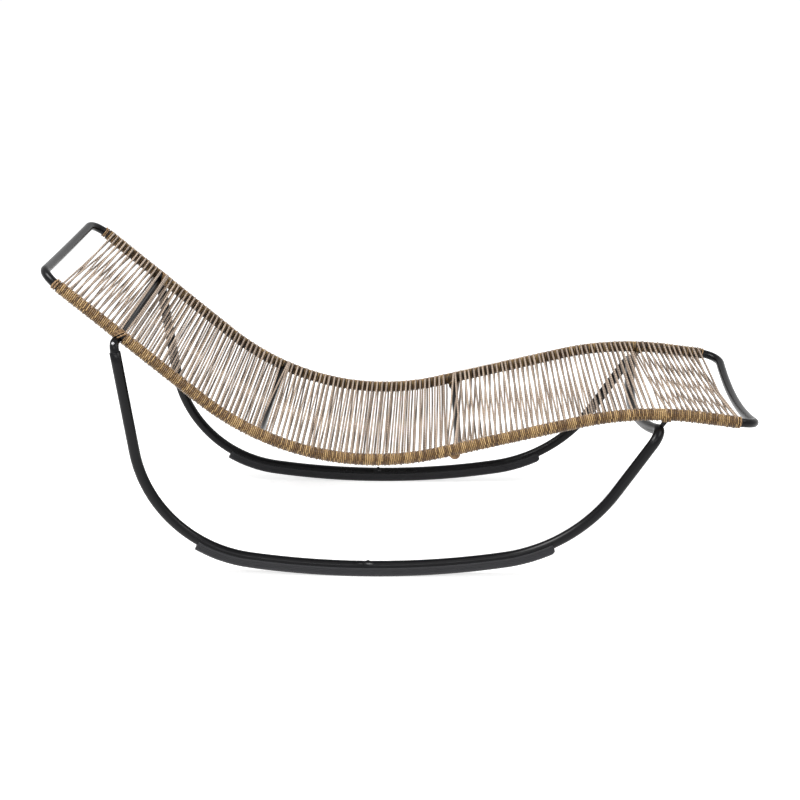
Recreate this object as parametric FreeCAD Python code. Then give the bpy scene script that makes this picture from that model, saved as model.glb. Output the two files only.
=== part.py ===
import FreeCAD, Part
import math
import os

from FreeCAD import Vector

os.makedirs("parts", exist_ok=True)

# Rocking chaise lounge: an S-shaped seat frame of bent steel tube, laced across with cord,
# standing on two bent rocker tubes that carry hard runners under their lower half.
# X runs from head (-) to foot (+), Y from the sitter's right (-) to left (+), Z up.
# The origin is on the floor, midway between the points where the level runners touch it.
# Every curve is a true arc. Tubes and cords are flat-sided so that the long bends stay light:
# a tube measures its real diameter across the flats.

# Seat frame
SEAT_TUBE = 22.0
RAIL_SPACING = 600.0
HEAD_CORNER_X = -767.6
HEAD_CORNER_Z = 748.4
BACK_ANGLE = 40.1
BACK_STRAIGHT = 474.4
LUMBAR_RADIUS = 653.6
LUMBAR_ANGLE = 53.6
THIGH_STRAIGHT = 345.0
KNEE_RADIUS = 811.0
KNEE_ANGLE = 20.7
CALF_STRAIGHT = 143.7
HOOP_CORNER_RADIUS = 49.0
HEAD_HOOP_DROP = 9.0
FOOT_HOOP_DROP = 32.0

# Distances along the rail of the four cross tubes: three from the head corner, and the
# foot crossbar's from the foot corner
HEAD_BAR_AT = 233.0
LUMBAR_BAR_AT = 648.8
CENTRE_BAR_AT = 1126.0
FOOT_BAR_TO_TIP = 238.0

# Stretchers welded to the rails, from below and inside: how far below the rails' axis their
# ends and middles lie, and how far their ends pass it sideways
STRETCHER_TUBE = 19.0
STRETCHER_MIDDLE_DEPTH = 48.0
LUMBAR_END_DEPTH = 4.0
LUMBAR_OVERHANG = 1.0
CENTRE_END_DEPTH = 11.0
CENTRE_OVERHANG = 4.0

# Rocker base
ROCKER_TUBE = 27.0
ROCKER_WALL = 2.0
ROCKER_OUTSET = 35.0
ROCKER_RADIUS = 2100.0
HEAD_BEND_RADIUS = 320.0
HEAD_LEG_ANGLE = 82.2
FOOT_BEND_RADIUS = 400.0
FOOT_LEG_ANGLE = 56.2
FOOT_CORNER_RADIUS = 32.0
FOOT_BAR_DROP = 60.0
FOOT_BAR_CLEARANCE = 11.0
HEAD_BAR_DEPTH = 16.4
HEAD_BAR_BEND = 25.0
SPIGOT_DEPTH = 60.0
MOUTH_GAP = 1.0
SLIP_FIT = 0.2
JOINT_SLEEVE_LENGTH = 90.0
JOINT_SLEEVE_WALL = 2.0
SEAM_OFFSET = 12.0
POST_WIDE = 10.0
POST_THICK = 6.0

# Runners
RUNNER_SIDE = 2.5
RUNNER_BASE = 9.5
RUNNER_CHAMFER = 5.0
RUNNER_LIP = 1.0
RUNNER_HEAD_ANGLE = 31.5
RUNNER_FOOT_ANGLE = 27.0
RUNNER_NOSE = 12.0

# Cord
CORD = 4.0
STRAND_PITCH = 13.2
STRAND_MARGIN = 9.0
BARE_GAP = 26.0
KNOT_LENGTH = 22.0
CUT_GAP = 0.2
STRAND_GAP = 0.05

# Pan-head screws
SCREW_HEAD = 8.0
SCREW_HEAD_HEIGHT = 2.6
SCREW_SHANK = 4.0
SCREW_TIP = 1.0
ELBOW_SCREW_GRIP = 9.0

# Flats round a tube or a wound rail
SIDES = 12

SEAT_R = SEAT_TUBE / 2
WRAP_R = SEAT_R + CORD
STRETCHER_R = STRETCHER_TUBE / 2
ROCKER_R = ROCKER_TUBE / 2
ROCKER_BORE_R = ROCKER_R - ROCKER_WALL
RAIL_Y = RAIL_SPACING / 2
ROCKER_Y = RAIL_Y + ROCKER_OUTSET
LEFT = Vector(0, 1, 0)


def along(angle):
    """Unit vector in the XZ plane at an angle in degrees above +X."""
    a = math.radians(angle)
    return Vector(math.cos(a), 0, math.sin(a))


def up_from(angle):
    """Unit vector square to along(angle), a quarter turn above it."""
    return along(angle + 90)


def flipped(point):
    """The same point on the other side of the chaise."""
    return Vector(point.x, -point.y, point.z)


class Route:
    """Tangent straight runs and arcs in the XZ plane, measured by distance from the start."""

    def __init__(self, start, heading):
        self.start = start
        self.heading = heading
        self.spans = []
        self.length = 0.0

    def straight(self, length):
        self.add(length, None, 1)

    def bend(self, radius, turn):
        self.add(radius * math.radians(abs(turn)), radius, math.copysign(1, turn))

    def add(self, length, radius, side):
        point, heading = self.at(self.length)
        self.spans.append((self.length, length, point, heading, radius, side))
        self.length += length

    def at(self, s):
        """Point and heading at distance s."""
        if not self.spans:
            return self.start, self.heading
        span = self.spans[0]
        for item in self.spans:
            if s >= item[0]:
                span = item
        begin, _, point, heading, radius, side = span
        if radius is None:
            return point + along(heading) * (s - begin), heading
        centre = point + up_from(heading) * (radius * side)
        now = heading + side * math.degrees((s - begin) / radius)
        return centre - up_from(now) * (radius * side), now

    def where_heading(self, heading):
        """Distance at which a route that only turns left reaches a heading."""
        for begin, length, _, start, radius, _ in self.spans:
            if radius is None:
                continue
            s = begin + math.radians(heading - start) * radius
            if begin <= s <= begin + length:
                return s
        return 0.0

    def legs(self, s0, s1, y):
        """First, middle and last point of each run or arc between two distances."""
        made = []
        for begin, length, *_ in self.spans:
            a = max(s0, begin)
            b = min(s1, begin + length)
            if b - a > 0.01:
                made.append([self.at(s)[0] + LEFT * y for s in (a, (a + b) / 2, b)])
        return made

    def outline(self, s, y, corners):
        """Closed outline square to the route, from (sideways, upward) corners."""
        point, heading = self.at(s)
        pts = [point + LEFT * (y + side) + up_from(heading) * up for side, up in corners]
        return Part.Face(Part.makePolygon(pts + pts[:1]))


def flat_ring(centre, axis, radius, facing=LEFT):
    """Closed outline with all its flats at one radius, one of them facing a given way."""
    third = axis.cross(facing).normalize()
    across = third.cross(axis)
    corner = radius / math.cos(math.pi / SIDES)
    pts = []
    for i in range(SIDES):
        a = 2 * math.pi * (i + 0.5) / SIDES
        pts.append(centre + across * (corner * math.cos(a)) + third * (corner * math.sin(a)))
    return Part.makePolygon(pts + pts[:1])


def backward(legs):
    """The same path from its other end."""
    return [leg[::-1] for leg in reversed(legs)]


def edge_of(leg):
    """Line or arc through a leg's three points."""
    first, middle, last = leg
    if middle.distanceToLine(first, last - first) < 0.001:
        return Part.makeLine(first, last)
    return Part.Arc(first, middle, last).toShape()


def path_of(legs):
    """Wire through the legs."""
    return Part.Wire([edge_of(leg) for leg in legs])


def sweep_tube(legs, outer_r, inner_r=0.0, facing=LEFT):
    """A tube, or a bar where no inner radius is given, along tangent legs."""
    first = edge_of(legs[0])
    start = legs[0][0]
    axis = first.tangentAt(first.FirstParameter)
    section = Part.Face(flat_ring(start, axis, outer_r, facing))
    if inner_r > 0:
        section = section.cut(Part.Face(flat_ring(start, axis, inner_r, facing))).Faces[0]
    return path_of(legs).makePipe(section)


def corner_arc(corner, arriving, leaving, radius):
    """First, middle and last point of the arc that rounds a corner."""
    half_turn = arriving.getAngle(leaving) / 2
    reach = radius * math.tan(half_turn)
    inward = (leaving - arriving).normalize()
    centre = corner + inward * (radius / math.cos(half_turn))
    return [corner - arriving * reach, centre - inward * radius, corner + leaving * reach]


def cross_tube_half(corner, arriving, sag, drop, radius):
    """Path that rounds the corner at +y and runs to the mid plane, where a cross tube lies
    off by drop along sag. The bow angle is found by repeated substitution."""
    bow = 0.0
    for _ in range(40):
        leaving = sag * math.sin(bow) - LEFT * math.cos(bow)
        reach = radius * math.tan(arriving.getAngle(leaving) / 2)
        chord = corner.y - reach * math.cos(bow)
        bow = 2 * math.atan2(drop - reach * math.sin(bow), chord)
    leaving = sag * math.sin(bow) - LEFT * math.cos(bow)
    bend = corner_arc(corner, arriving, leaving, radius)
    middle = Vector(corner.x, 0, corner.z) + sag * drop
    chord_line = middle - bend[2]
    swell = (leaving - chord_line * (leaving.dot(chord_line) / chord_line.dot(chord_line)))
    between = (bend[2] + middle) / 2
    if bow > 0:
        between += swell.normalize() * (chord_line.Length / 2 * math.tan(bow / 4))
    return [bend, [bend[2], between, middle]]


def sink_at(half, downward, y):
    """How far down from the origin a cross tube's axis lies at y."""
    leg = half[0] if y > half[0][2].y else half[1]
    arc = edge_of(leg).Curve
    rise = math.sqrt(arc.Radius**2 - (y - arc.Center.y) ** 2)
    return arc.Center.dot(downward) + (-rise if leg is half[0] else rise)


def mirrored(shape):
    """The same piece on the other side of the chaise."""
    return shape.mirror(Vector(0, 0, 0), LEFT)


def both(shapes):
    """Pieces and their mirror images as one group."""
    return Part.makeCompound(shapes + [mirrored(s) for s in shapes])


def write(name, shape):
    """Write one node."""
    shape.exportStep("parts/" + name + ".step")


def write_pair(name, shape):
    """Write a left-hand piece and its mirror image."""
    write(name + "_left", shape)
    write(name + "_right", mirrored(shape))


def pan_screw(seat, inward, grip):
    """Pan-head screw: the head stands on a surface at seat, the shank goes inward."""
    facing = Vector(1, 0, 0)
    head = Part.Face(flat_ring(seat, inward, SCREW_HEAD / 2, facing))
    head = head.extrude(inward * -SCREW_HEAD_HEIGHT)
    shank = Part.Face(flat_ring(seat, inward, SCREW_SHANK / 2, facing)).extrude(inward * grip)
    return head.fuse(shank)


# Seat frame: each side is one bent tube that runs from the middle of the head hoop, down the
# rail, to the middle of the foot hoop, where it is butt-welded to its mirror image.
rail = Route(Vector(HEAD_CORNER_X, 0, HEAD_CORNER_Z), -BACK_ANGLE)
rail.straight(BACK_STRAIGHT)
rail.bend(LUMBAR_RADIUS, LUMBAR_ANGLE)
rail.straight(THIGH_STRAIGHT)
rail.bend(KNEE_RADIUS, -KNEE_ANGLE)
rail.straight(CALF_STRAIGHT)
rail_tip, calf_slope = rail.at(rail.length)
foot_bar_at = rail.length - FOOT_BAR_TO_TIP

head_corner = Vector(HEAD_CORNER_X, RAIL_Y, HEAD_CORNER_Z)
foot_corner = rail_tip + LEFT * RAIL_Y
head_sag = up_from(-BACK_ANGLE) * -1
foot_sag = up_from(calf_slope) * -1
head_half = cross_tube_half(
    head_corner, along(180 - BACK_ANGLE), head_sag, HEAD_HOOP_DROP, HOOP_CORNER_RADIUS
)
foot_half = cross_tube_half(
    foot_corner, along(calf_slope), foot_sag, FOOT_HOOP_DROP, HOOP_CORNER_RADIUS
)
rail_from = head_half[0][0].distanceToPoint(head_corner)
rail_to = rail.length - foot_half[0][0].distanceToPoint(foot_corner)
seat_rail = sweep_tube(rail.legs(rail_from, rail_to, RAIL_Y), SEAT_R)
rail_and_foot = sweep_tube(rail.legs(rail_from, rail_to, RAIL_Y) + foot_half, SEAT_R)
write_pair("seat_frame", rail_and_foot.fuse(sweep_tube(head_half, SEAT_R)).removeSplitter())


def below_rail(s, depth):
    """Point in the mid plane, square below the rails' axis."""
    point, heading = rail.at(s)
    return point - up_from(heading) * depth


class Stretcher:
    """Bowed tube between the rails, at a distance along them."""

    def __init__(self, station, end_depth, overhang):
        self.station = station
        self.end_depth = end_depth
        self.end = RAIL_Y + overhang
        drop = STRETCHER_MIDDLE_DEPTH - end_depth
        self.radius = (self.end**2 + drop**2) / (2 * drop)
        self.tip = self.end + STRETCHER_R * self.end / self.radius
        self.along = along(rail.at(station)[1])

    def bow(self, y0, y1):
        """Part of the long arc, between two values of y."""
        up = up_from(rail.at(self.station)[1])
        centre = below_rail(self.station, STRETCHER_MIDDLE_DEPTH) + up * self.radius
        ys = (y0, (y0 + y1) / 2, y1)
        return [[centre + LEFT * y - up * math.sqrt(self.radius**2 - y**2) for y in ys]]


def notch(bar):
    """Square room left in the cord under a rail, round the end of a stretcher."""
    half = STRETCHER_R + CUT_GAP
    low = -bar.end_depth - STRETCHER_TUBE
    top = -bar.end_depth + half
    point, heading = rail.at(bar.station)
    pts = [
        point + LEFT * (RAIL_Y - 2 * WRAP_R) + along(heading) * side + up_from(heading) * up
        for side, up in ((-half, low), (half, low), (half, top), (-half, top))
    ]
    width = bar.tip - RAIL_Y + 2 * WRAP_R + CUT_GAP
    return Part.Face(Part.makePolygon(pts + pts[:1])).extrude(LEFT * width)


# Stretchers: bowed tubes, notched round the rails that they hold from below and inside.
lumbar_bar = Stretcher(LUMBAR_BAR_AT, LUMBAR_END_DEPTH, LUMBAR_OVERHANG)
centre_bar = Stretcher(CENTRE_BAR_AT, CENTRE_END_DEPTH, CENTRE_OVERHANG)
stretcher_room = []
for name, bar in (("lumbar", lumbar_bar), ("centre", centre_bar)):
    tube = sweep_tube(bar.bow(bar.end, -bar.end), STRETCHER_R, facing=bar.along)
    tube = tube.cut(seat_rail).cut(mirrored(seat_rail))
    write(name + "_stretcher", max(tube.Solids, key=lambda piece: piece.Volume))
    stretcher_room.append(notch(bar))

# Head crossbar: a U-tube notched under both rails, whose legs plug into the rocker tubes.
head_bar = below_rail(HEAD_BAR_AT, HEAD_BAR_DEPTH)
leg_down = along(-HEAD_LEG_ANGLE)
elbow = corner_arc(head_bar + LEFT * ROCKER_Y, leg_down * -1, LEFT * -1, HEAD_BAR_BEND)
spigot_end = elbow[0] + leg_down * SPIGOT_DEPTH
spigot = [spigot_end, (spigot_end + elbow[0]) / 2, elbow[0]]
head_bar_half = [spigot, elbow, [elbow[2], (elbow[2] + head_bar) / 2, head_bar]]
head_bar_legs = head_bar_half + backward([[flipped(p) for p in leg] for leg in head_bar_half])
head_crossbar = sweep_tube(head_bar_legs, SEAT_R)
head_crossbar = head_crossbar.cut(seat_rail).cut(mirrored(seat_rail))

# Elbow screws: one in the outer face of each bend of the head crossbar.
elbow_out = (LEFT - leg_down).normalize()
elbow_screw = pan_screw(elbow[1] + elbow_out * SEAT_R, elbow_out * -1, ELBOW_SCREW_GRIP)
write("elbow_screws", both([elbow_screw]))
write("head_crossbar", head_crossbar.cut(elbow_screw).cut(mirrored(elbow_screw)))

# Rocker route: down the head leg, round the base and up the foot leg. The two leg lines are
# given, so each bend's centre lies on a circle about the centre of the base arc.
base_centre = Vector(0, 0, ROCKER_R + RUNNER_BASE + ROCKER_RADIUS)


def run_into_base(point, down_leg, side, radius):
    """Distance down a leg line at which its bend must begin to run into the base arc,
    and the heading of the base where they meet."""
    offset = point + side * radius - base_centre
    half = offset.dot(down_leg)
    gap = offset.dot(offset) - (ROCKER_RADIUS - radius) ** 2
    reach = math.sqrt(half * half - gap) - half
    bend_centre = offset + down_leg * reach
    return reach, math.degrees(math.atan2(bend_centre.x, -bend_centre.z))


# Foot crossbar: the foot legs round over into it, and its corners pass under the rails.
# Its middle sags in the plane of the legs.
foot_leg = along(FOOT_LEG_ANGLE)
leg_back = foot_leg * -1
trial_corner = LEFT * ROCKER_Y
trial = cross_tube_half(trial_corner, foot_leg, leg_back, FOOT_BAR_DROP, FOOT_CORNER_RADIUS)
foot_bar_depth = WRAP_R + ROCKER_R + FOOT_BAR_CLEARANCE
under_rail = below_rail(foot_bar_at, foot_bar_depth)
foot_bar = under_rail + foot_leg * sink_at(trial, leg_back, RAIL_Y)
foot_bar_half = [[p + foot_bar for p in leg] for leg in trial]
foot_bar_reach = trial[0][0].distanceToPoint(trial_corner)

head_side = up_from(-HEAD_LEG_ANGLE)
foot_side = up_from(FOOT_LEG_ANGLE)
head_reach, head_slope = run_into_base(head_bar, leg_down, head_side, HEAD_BEND_RADIUS)
foot_reach, foot_slope = run_into_base(foot_bar, leg_back, foot_side, FOOT_BEND_RADIUS)
mouth = HEAD_BAR_BEND + MOUTH_GAP
rocker = Route(head_bar + leg_down * mouth, -HEAD_LEG_ANGLE)
rocker.straight(head_reach - mouth)
rocker.bend(HEAD_BEND_RADIUS, head_slope + HEAD_LEG_ANGLE)
rocker.bend(ROCKER_RADIUS, foot_slope - head_slope)
rocker.bend(FOOT_BEND_RADIUS, FOOT_LEG_ANGLE - foot_slope)
rocker.straight(foot_reach - foot_bar_reach)

# Rocker tubes: each head tube meets the foot frame near the middle of the base, on a sleeve
# inside them. The foot frame is one bent tube: both foot legs and the crossbar between them.
# The tubes are bored only where another tube enters.
touch = rocker.where_heading(0)
seam = touch - SEAM_OFFSET
joint = [rocker.at(seam + JOINT_SLEEVE_LENGTH * k)[0] + LEFT * ROCKER_Y for k in (-0.5, 0, 0.5)]
joint[1] = (joint[0] + joint[2]) / 2
joint_bore = sweep_tube([joint], ROCKER_BORE_R)
sleeve_r = ROCKER_BORE_R - SLIP_FIT
joint_sleeve = sweep_tube([joint], sleeve_r, sleeve_r - JOINT_SLEEVE_WALL)
socket = sweep_tube([spigot], ROCKER_BORE_R)

touch_point, _ = rocker.at(touch)
base_screw = pan_screw(
    touch_point + LEFT * ROCKER_Y + Vector(0, 0, ROCKER_R),
    Vector(0, 0, -1),
    ROCKER_WALL + SLIP_FIT + JOINT_SLEEVE_WALL + SCREW_TIP,
)
head_rocker = sweep_tube(rocker.legs(0, seam, ROCKER_Y), ROCKER_R)
write_pair("head_rocker", head_rocker.cut(socket).cut(joint_bore))
foot_frame_half = rocker.legs(seam, rocker.length, ROCKER_Y) + foot_bar_half
other_half = backward([[flipped(p) for p in leg] for leg in foot_frame_half])
foot_frame = sweep_tube(foot_frame_half + other_half, ROCKER_R)
foot_crossbar = sweep_tube(foot_bar_half, ROCKER_R)
for piece in (joint_bore, base_screw):
    foot_frame = foot_frame.cut(piece).cut(mirrored(piece))
write("foot_frame", foot_frame)
write("joint_sleeves", both([joint_sleeve.cut(base_screw)]))
write("base_screws", both([base_screw]))

# Runners: a channel that hugs the lower half of the rocker tube.
runner_side = ROCKER_R + RUNNER_SIDE
runner_bottom = -(ROCKER_R + RUNNER_BASE)
tube_corner = ROCKER_R / math.cos(math.pi / SIDES)
cradle = [(ROCKER_R, RUNNER_LIP)]
for i in range(SIDES // 2):
    a = -2 * math.pi * (i + 0.5) / SIDES
    cradle.append((tube_corner * math.cos(a), tube_corner * math.sin(a)))
channel = cradle + [
    (-ROCKER_R, RUNNER_LIP),
    (-runner_side, RUNNER_LIP),
    (-runner_side, runner_bottom + RUNNER_CHAMFER),
    (-runner_side + RUNNER_CHAMFER, runner_bottom),
    (runner_side - RUNNER_CHAMFER, runner_bottom),
    (runner_side, runner_bottom + RUNNER_CHAMFER),
    (runner_side, RUNNER_LIP),
]
runner_from = rocker.where_heading(-RUNNER_HEAD_ANGLE)
runner_to = rocker.where_heading(RUNNER_FOOT_ANGLE)
runner_legs = rocker.legs(runner_from, runner_to, ROCKER_Y)
runner = path_of(runner_legs).makePipe(rocker.outline(runner_from, ROCKER_Y, channel))

# The runner's foot end is rounded off below.
nose_point, nose_slope = rocker.at(runner_to)
nose_out = along(nose_slope)
nose_up = up_from(nose_slope)
nose_side = LEFT * (ROCKER_Y - 2 * runner_side)
nose_low = nose_point + nose_up * runner_bottom + nose_side
nose_centre = nose_low - nose_out * RUNNER_NOSE + nose_up * RUNNER_NOSE
nose_mid = nose_centre + (nose_out - nose_up).normalize() * RUNNER_NOSE
nose_pts = [
    nose_low + nose_up * RUNNER_NOSE,
    nose_low + nose_up * RUNNER_NOSE + nose_out,
    nose_low + nose_out - nose_up,
    nose_low - nose_up - nose_out * RUNNER_NOSE,
    nose_low - nose_out * RUNNER_NOSE,
]
nose_wire = Part.Wire(
    list(Part.makePolygon(nose_pts).Edges)
    + [Part.Arc(nose_pts[-1], nose_mid, nose_pts[0]).toShape()]
)
nose_cut = Part.Face(nose_wire).extrude(LEFT * (4 * runner_side))
write_pair("runner", runner.cut(nose_cut))

# Posts: flat struts that stand on the foot crossbar's corners and carry the rails.
post_foot = under_rail + LEFT * (RAIL_Y - POST_THICK / 2)
post_rise = foot_bar_depth / foot_leg.dot(up_from(rail.at(foot_bar_at)[1]))


def post_bar(room):
    """Flat bar up the line of the foot legs, grown by some room on its four sides."""
    wide = up_from(FOOT_LEG_ANGLE) * (POST_WIDE / 2 + room)
    side = LEFT * -room
    pts = [post_foot + side + wide, post_foot + side - wide]
    pts += [pt + foot_leg * post_rise for pt in reversed(pts)]
    return Part.Face(Part.makePolygon(pts + pts[:1])).extrude(LEFT * (POST_THICK + 2 * room))


post = post_bar(0).cut(foot_crossbar).cut(seat_rail)
post = min(post.Solids, key=lambda piece: piece.CenterOfMass.z)
write_pair("foot_post", post)

# Cord wound round the rails, in five panels between the cross tubes. The rails are bare
# where the head crossbar joins them, and wound without a break from there to the foot.
wound_from = HEAD_BAR_AT + BARE_GAP / 2
wound_to = HEAD_BAR_AT - BARE_GAP / 2
windings = []
for s0, s1 in ((rail_from, wound_to), (wound_from, rail_to)):
    winding = sweep_tube(rail.legs(s0, s1, RAIL_Y), WRAP_R, SEAT_R)
    for room in stretcher_room + [post_bar(CUT_GAP)]:
        winding = winding.cut(room)
    windings.append(winding)
write_pair("rail_winding", Part.makeCompound(windings))

# Cord wound round the ends of the centre stretcher, showing as a bump under each rail.
knot_path = centre_bar.bow(RAIL_Y - KNOT_LENGTH, RAIL_Y)
knot = sweep_tube(knot_path, STRETCHER_R + CORD, facing=centre_bar.along)
knot_bore = sweep_tube(centre_bar.bow(0, centre_bar.end), STRETCHER_R, facing=centre_bar.along)
wound_rail = sweep_tube(rail.legs(wound_from, rail_to, RAIL_Y), WRAP_R)
write("centre_knots", both([knot.cut(knot_bore).cut(wound_rail)]))

panels = [
    ("headrest", rail_from, wound_to),
    ("back", wound_from, LUMBAR_BAR_AT),
    ("seat", LUMBAR_BAR_AT, CENTRE_BAR_AT),
    ("thigh", CENTRE_BAR_AT, foot_bar_at),
    ("calf", foot_bar_at, rail_to),
]


# Strands: the cord crosses from rail to rail over the top and, half a pitch on, underneath.
# Each end lies flat on the sloping side of the winding.
def strand(s, side):
    point, heading = rail.at(s)
    up = up_from(heading) * side
    half = along(heading) * (CORD / 2)
    slope = math.radians(60)
    corners = []
    for height, end in ((SEAT_R, 1), (WRAP_R, 1), (WRAP_R, -1), (SEAT_R, -1)):
        inset = (WRAP_R - height * math.sin(slope)) / math.cos(slope)
        reach = RAIL_Y - inset - STRAND_GAP
        corners.append(point - half + up * height + LEFT * (end * reach))
    return Part.Face(Part.makePolygon(corners + corners[:1])).extrude(half * 2)


for name, s0, s1 in panels:
    room = s1 - s0 - 2 * STRAND_MARGIN
    count = int(room / STRAND_PITCH)
    first = s0 + STRAND_MARGIN + (room - count * STRAND_PITCH) / 2
    upper = [strand(first + i * STRAND_PITCH, 1) for i in range(count + 1)]
    lower = [strand(first + (i + 0.5) * STRAND_PITCH, -1) for i in range(count)]
    write(name + "_strands", Part.makeCompound(upper + lower))
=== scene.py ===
import math

import bpy
import numpy as np
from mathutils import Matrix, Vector


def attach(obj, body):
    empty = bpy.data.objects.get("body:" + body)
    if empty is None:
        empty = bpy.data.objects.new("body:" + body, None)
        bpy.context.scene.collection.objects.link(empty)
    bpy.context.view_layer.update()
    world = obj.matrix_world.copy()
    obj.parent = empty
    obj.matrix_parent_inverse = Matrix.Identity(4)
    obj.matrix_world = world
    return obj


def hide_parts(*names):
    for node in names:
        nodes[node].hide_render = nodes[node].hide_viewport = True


# Lengths in metres, angles in degrees. X runs from head to foot, Y to the sitter's left.
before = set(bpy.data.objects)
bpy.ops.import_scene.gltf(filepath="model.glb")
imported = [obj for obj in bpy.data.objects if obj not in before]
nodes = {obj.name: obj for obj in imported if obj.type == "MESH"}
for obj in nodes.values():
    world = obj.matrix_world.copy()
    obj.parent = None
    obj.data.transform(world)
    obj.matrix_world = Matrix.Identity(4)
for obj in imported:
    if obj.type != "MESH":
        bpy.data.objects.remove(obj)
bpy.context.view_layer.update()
chance = np.random.default_rng(7)  # the same draws on every run
leftward = np.array([0.0, 1.0, 0.0])
mirrorY = np.array([1.0, -1.0, 1.0])
midPlane = np.array([1.0, 0.0, 1.0])  # a point times this has its Y taken out
still = np.zeros(3)  # the curve of a straight leg
turnUp = -leftward  # turning about -Y lifts a path that heads for +X
tiny = 1e-6


def unit(vectors):
    # The same directions at length 1.
    return np.asarray(vectors) / np.linalg.norm(vectors, axis=-1, keepdims=True)


def slopeWay(degrees):
    # Unit vector in the XZ plane at an angle above +X.
    a = math.radians(degrees)
    return np.array([math.cos(a), 0.0, math.sin(a)])


def ringAngles(count):
    # Even angles once round, without the last one that would meet the first.
    return np.arange(count) * (2 * math.pi / count)


def carry(point, ahead, side, curve, reach):
    # A straight run or an arc: curve is the turning axis over the radius. The point moves by
    # ahead*sin(t)/k + (axis x ahead)*(1 - cos(t))/k, and both directions turn by t = k*reach.
    reach = np.atleast_1d(reach)[:, None]
    k = np.linalg.norm(curve)
    if k == 0:
        same = np.ones_like(reach)
        return point + ahead * reach, ahead * same, side * same
    axis = curve / k
    t = k * reach
    moved = point + (ahead * np.sin(t) + np.cross(axis, ahead) * (1 - np.cos(t))) / k
    turned = [
        v * np.cos(t) + np.cross(axis, v) * np.sin(t) + axis * axis.dot(v) * (1 - np.cos(t))
        for v in (ahead, side)
    ]
    return moved, turned[0], turned[1]


def bentPath(route, at):
    # Points, headings and side directions at any distances along a route of legs. The first
    # and the last leg run on past the route's ends.
    at = np.asarray(at, float)
    flat = at.ravel()
    out = np.zeros((3, flat.size, 3))
    now = (route["start"], route["ahead"], route["side"])
    begin = 0.0
    legs = route["legs"]
    for i, (length, curve) in enumerate(legs):
        inside = np.ones(flat.size, bool)
        if i > 0:
            inside &= flat >= begin
        if i < len(legs) - 1:
            inside &= flat < begin + length
        for part, values in zip(out, carry(*now, curve, flat[inside] - begin)):
            part[inside] = values
        now = [v[0] for v in carry(*now, curve, length)]
        begin += length
    out = out.reshape((3,) + at.shape + (3,))
    return out[0], out[1], out[2]


def lengthOf(legs):
    # The sum of the legs' lengths.
    return sum(length for length, _ in legs)


def arcLeg(radius, degrees, axis):
    # A leg that turns about an axis: its length is radius*angle and its curve axis/radius.
    curve = np.asarray(axis) * (math.copysign(1, degrees) / radius)
    return radius * math.radians(abs(degrees)), curve


def mirroredBack(legs):
    # The same legs on the other side, met from their far end.
    return [(length, curve * mirrorY) for length, curve in reversed(legs)]


def cornerInto(bow, arriving, sag, radius):
    # The corner arc that turns a tube into its cross run, when that run starts off bow below
    # level: its new heading, its angle, and how far the arc reaches from the corner's point.
    leaving = sag * math.sin(bow) - leftward * math.cos(bow)
    turn = math.acos(arriving.dot(leaving))
    return leaving, turn, radius * math.tan(turn / 2)


def crossTube(arriving, sag, drop, radius, half):
    # Corner arc and bowed half of a cross tube that lies off by drop at its middle. The bow
    # angle is found by putting it back into drop and half until it stands still.
    bow, tries = 0.0, 40
    for _ in range(tries):
        reach = cornerInto(bow, arriving, sag, radius)[2]
        bow = 2 * math.atan2(drop - reach * math.sin(bow), half - reach * math.cos(bow))
    leaving, turn, reach = cornerInto(bow, arriving, sag, radius)
    legs = [(radius * turn, unit(np.cross(arriving, leaving)) / radius)]
    chord = math.hypot(half - reach * math.cos(bow), drop - reach * math.sin(bow))
    if bow > tiny:
        bowRadius = chord / (2 * math.sin(bow / 2))
        legs.append((bowRadius * bow, unit(np.cross(leaving, -leftward)) / bowRadius))
    else:
        legs.append((chord, still))
    return reach, legs


ringStep = {"straight": 0.03, "turn": 0.035}  # metres on a straight leg, radians on a bent one


def stations(route, start, end):
    # Distances for the rings of a tube: close in the bends, wide on the straights.
    marks = [start]
    begin = 0.0
    for length, curve in route["legs"]:
        run = min(end, begin + length) - max(start, begin)
        if run > tiny:
            turn = run * np.linalg.norm(curve)
            n = max(math.ceil(run / ringStep["straight"]), math.ceil(turn / ringStep["turn"]))
            first = max(start, begin)
            marks.extend(np.linspace(first, first + run, n + 1)[1:])
        begin += length
    return np.array(marks)


def skin(route, at, angle, radius):
    # Grid round a route: p(s) + r*(side*cos(a) + up*sin(a)), with s, a and r all arrays.
    at, angle, radius = np.broadcast_arrays(at, angle, radius)
    point, ahead, side = bentPath(route, at)
    up = np.cross(ahead, side)
    return point + radius[..., None] * (
        side * np.cos(angle)[..., None] + up * np.sin(angle)[..., None]
    )


def profileSkin(route, at, across, above):
    # Grid of a profile carried along a route: p(s) + side*across + up*above.
    at, across, above = np.broadcast_arrays(at, across, above)
    point, ahead, side = bentPath(route, at)
    up = np.cross(ahead, side)
    return point + side * across[..., None] + up * above[..., None]


def cordSkin(points, guide, radius, sides):
    # A round cord along rows of points: p + r*(first*cos(a) + second*sin(a)), where first and
    # second are square to the run, and first is square to the guide too.
    along = unit(np.gradient(points, axis=-2))
    first = unit(np.cross(along, guide))
    second = np.cross(along, first)
    angle = ringAngles(sides)[:, None]
    spoke = first[..., None, :] * np.cos(angle) + second[..., None, :] * np.sin(angle)
    return points[..., None, :] + radius * spoke


def cornerMap(fromRow, toRow, cols):
    # UVs of the four corners of each quad: u is its two rows' own value, and v counts round
    # the columns and ends on 1, not back on 0.
    us = np.stack([fromRow, fromRow, toRow, toRow], -1)[:, :, None] * np.ones((cols, 1))
    vs = np.arange(cols)[:, None] / cols + np.array([0, 1, 1, 0]) / cols
    return np.stack([us, np.broadcast_to(vs, us.shape)], -1).reshape(-1, 2)


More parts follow.
